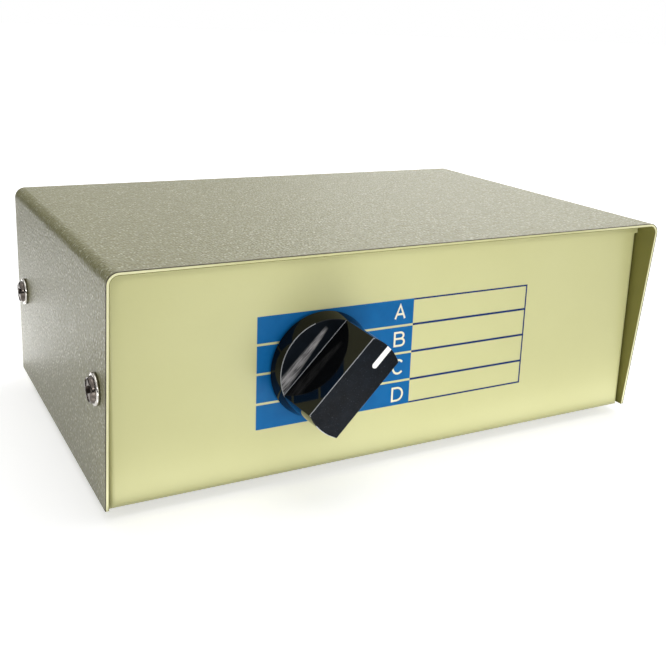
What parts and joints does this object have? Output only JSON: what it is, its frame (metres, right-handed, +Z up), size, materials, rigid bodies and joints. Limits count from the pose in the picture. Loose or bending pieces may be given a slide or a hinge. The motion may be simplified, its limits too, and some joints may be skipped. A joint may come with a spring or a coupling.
{
  "type": "coaxial antenna switch",
  "caption": "Desk-top manual coaxial selector: steel box with hooded cover, pointer knob on a printed panel, bayonet jacks on the rear and a rotary wafer switch inside.",
  "frame": {"origin": "in the plane the rubber feet stand on, in the middle of the overall width and of the overall depth from the knob's face to the jacks' mouths", "axes": "+X to the right as seen from the front, +Y to the rear, +Z up"},
  "size_m": [0.1644, 0.1238, 0.0612],
  "materials": {
    "chassis_paint": "smooth semi-gloss cream paint",
    "cover_paint": "stippled grey-olive paint",
    "foot_rubber": "matte",
    "nickel": "bright nickel plate",
    "zinc_steel": "zinc plate",
    "bare_steel": "turned steel",
    "spring_steel": "blued spring steel",
    "knob_black": "gloss, grained top",
    "pointer_white": "smooth",
    "brass": "bare",
    "silver_brass": "silver plate",
    "phenolic": "laminate",
    "acetal": "natural",
    "ptfe": "natural white",
    "lead_black": "satin jacket",
    "tinned_copper": "tinned"
  },
  "bodies": {
    "case": {"chassis": "chassis_paint", "top_cover": "cover_paint", "rubber_feet": "foot_rubber", "cover_screws": "nickel", "switch_bushing": "brass", "index_plate": "zinc_steel", "detent_spring": "spring_steel", "detent_spring_rivets": "zinc_steel", "panel_lock_washer": "zinc_steel", "panel_washer": "nickel", "panel_nut": "nickel", "wafer": "phenolic", "common_clip": "silver_brass", "throw_clip_a": "silver_brass", "throw_clip_b": "silver_brass", "throw_clip_c": "silver_brass", "throw_clip_d": "silver_brass", "clip_rivets": "brass", "tie_spacers": "zinc_steel", "tie_lock_washers": "zinc_steel", "tie_screws": "zinc_steel", "jack_ground_tags": "tinned_copper", "jack_lock_washers": "zinc_steel", "jack_nuts": "nickel", "shield_pigtails": "tinned_copper", "jack_body_common": "nickel", "jack_insulator_common": "ptfe", "jack_contact_common": "silver_brass", "lead_common": "lead_black", "jack_body_a": "nickel", "jack_insulator_a": "ptfe", "jack_contact_a": "silver_brass", "lead_a": "lead_black", "jack_body_b": "nickel", "jack_insulator_b": "ptfe", "jack_contact_b": "silver_brass", "lead_b": "lead_black", "jack_body_c": "nickel", "jack_insulator_c": "ptfe", "jack_contact_c": "silver_brass", "lead_c": "lead_black", "jack_body_d": "nickel", "jack_insulator_d": "ptfe", "jack_contact_d": "silver_brass", "lead_d": "lead_black"},
    "rotor": {"knob": "knob_black", "pointer_line": "pointer_white", "knob_set_screw": "zinc_steel", "switch_shaft": "bare_steel", "front_retaining_ring": "spring_steel", "rear_retaining_ring": "spring_steel", "detent_wheel": "zinc_steel", "shaft_spacer": "brass", "rotor_hub": "acetal", "rotor_contact": "silver_brass", "rotor_rivets": "brass"}
  },
  "joints": [
    {"name": "knob_turn", "type": "hinge", "parent": "case", "child": "rotor", "pos_m": [-0.0252, -0.04395, 0.031], "axis": [0, 1, 0], "range_deg": [0, 90], "deforming": ["detent_spring"]}
  ]
}
